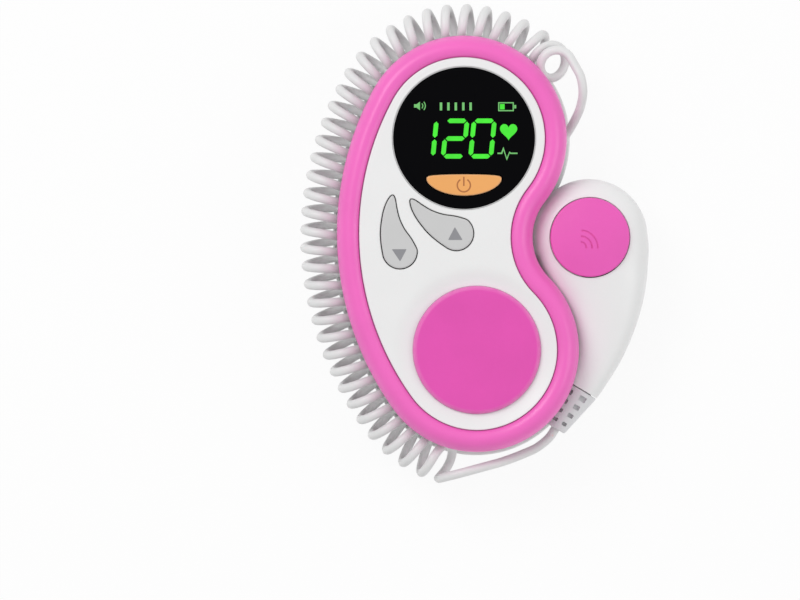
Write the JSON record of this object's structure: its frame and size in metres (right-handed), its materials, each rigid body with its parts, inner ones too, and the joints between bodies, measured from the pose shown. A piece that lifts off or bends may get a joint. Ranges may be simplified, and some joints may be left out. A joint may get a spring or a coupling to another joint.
{
  "type": "fetal doppler monitor",
  "caption": "Kidney-shaped handheld monitor with round display, push buttons, speaker, curly cord wound round its groove and a docked ultrasound probe.",
  "frame": {"origin": "on the flat back of the rear shell, half way between the centres of the two lobes", "axes": "+Z out of the face, +Y towards the display end, +X towards the docked probe"},
  "size_m": [0.1121, 0.1541, 0.033],
  "materials": {
    "white_plastic": "satin",
    "pink_plastic": "gloss",
    "deep_pink_plastic": "satin",
    "black_glass": "gloss",
    "orange_plastic": "satin",
    "grey_plastic": "satin",
    "board_green": "satin",
    "dark_plastic": "matt",
    "steel": "satin",
    "speaker_paper": "matt",
    "cell_jacket": "satin",
    "crystal_ceramic": "matt",
    "lens_grey": "satin",
    "cord_white": "satin"
  },
  "bodies": {
    "unit": {"rear_shell": "white_plastic", "centre_frame": "white_plastic", "bezel_ring": "pink_plastic", "front_shell": "white_plastic", "display_window": "black_glass", "display_module": "dark_plastic", "speaker_cover": "deep_pink_plastic", "speaker_basket": "dark_plastic", "speaker_cone": "speaker_paper", "main_board": "board_green", "main_chip": "dark_plastic", "power_switch": "dark_plastic", "volume_up_switch": "dark_plastic", "volume_down_switch": "dark_plastic", "battery_tray": "white_plastic", "battery_cell_1": "cell_jacket", "battery_cell_2": "cell_jacket", "battery_contact_1": "steel", "battery_contact_2": "steel", "battery_bridge": "steel", "contact_spring_1": "steel", "contact_spring_2": "steel", "case_screw_1": "steel", "case_screw_2": "steel", "case_screw_3": "steel", "case_screw_4": "steel", "cord_gland": "white_plastic", "probe_cradle": "white_plastic", "unit_lead": "cord_white", "curly_cord": "cord_white", "probe_lead": "cord_white"},
    "power_button": {"power_button": "orange_plastic"},
    "volume_up_button": {"volume_up_button": "grey_plastic"},
    "volume_down_button": {"volume_down_button": "grey_plastic"},
    "battery_door": {"battery_door": "white_plastic"},
    "probe": {"probe_front_shell": "white_plastic", "probe_rear_shell": "white_plastic", "probe_cap": "deep_pink_plastic", "acoustic_lens": "lens_grey", "sending_crystal": "crystal_ceramic", "listening_crystal": "crystal_ceramic", "crystal_holder": "dark_plastic", "probe_board": "board_green", "probe_screw_1": "steel", "probe_screw_2": "steel", "strain_relief": "white_plastic"}
  },
  "joints": [
    {"name": "power_press", "type": "slide", "parent": "unit", "child": "power_button", "axis": [0, 0, -1], "range_m": [0, 0.0008], "stiffness_N_per_m": 900, "springref_m": -0.0012},
    {"name": "volume_up_press", "type": "slide", "parent": "unit", "child": "volume_up_button", "axis": [0, 0, -1], "range_m": [0, 0.0008], "stiffness_N_per_m": 900, "springref_m": -0.0012},
    {"name": "volume_down_press", "type": "slide", "parent": "unit", "child": "volume_down_button", "axis": [0, 0, -1], "range_m": [0, 0.0008], "stiffness_N_per_m": 900, "springref_m": -0.0012},
    {"name": "battery_door_slide", "type": "slide", "parent": "unit", "child": "battery_door", "axis": [0, -1, 0], "range_m": [0, 0.062]},
    {"name": "probe_undock", "type": "slide", "parent": "unit", "child": "probe", "axis": [1, 0, 0], "range_m": [0, 0.02]}
  ]
}
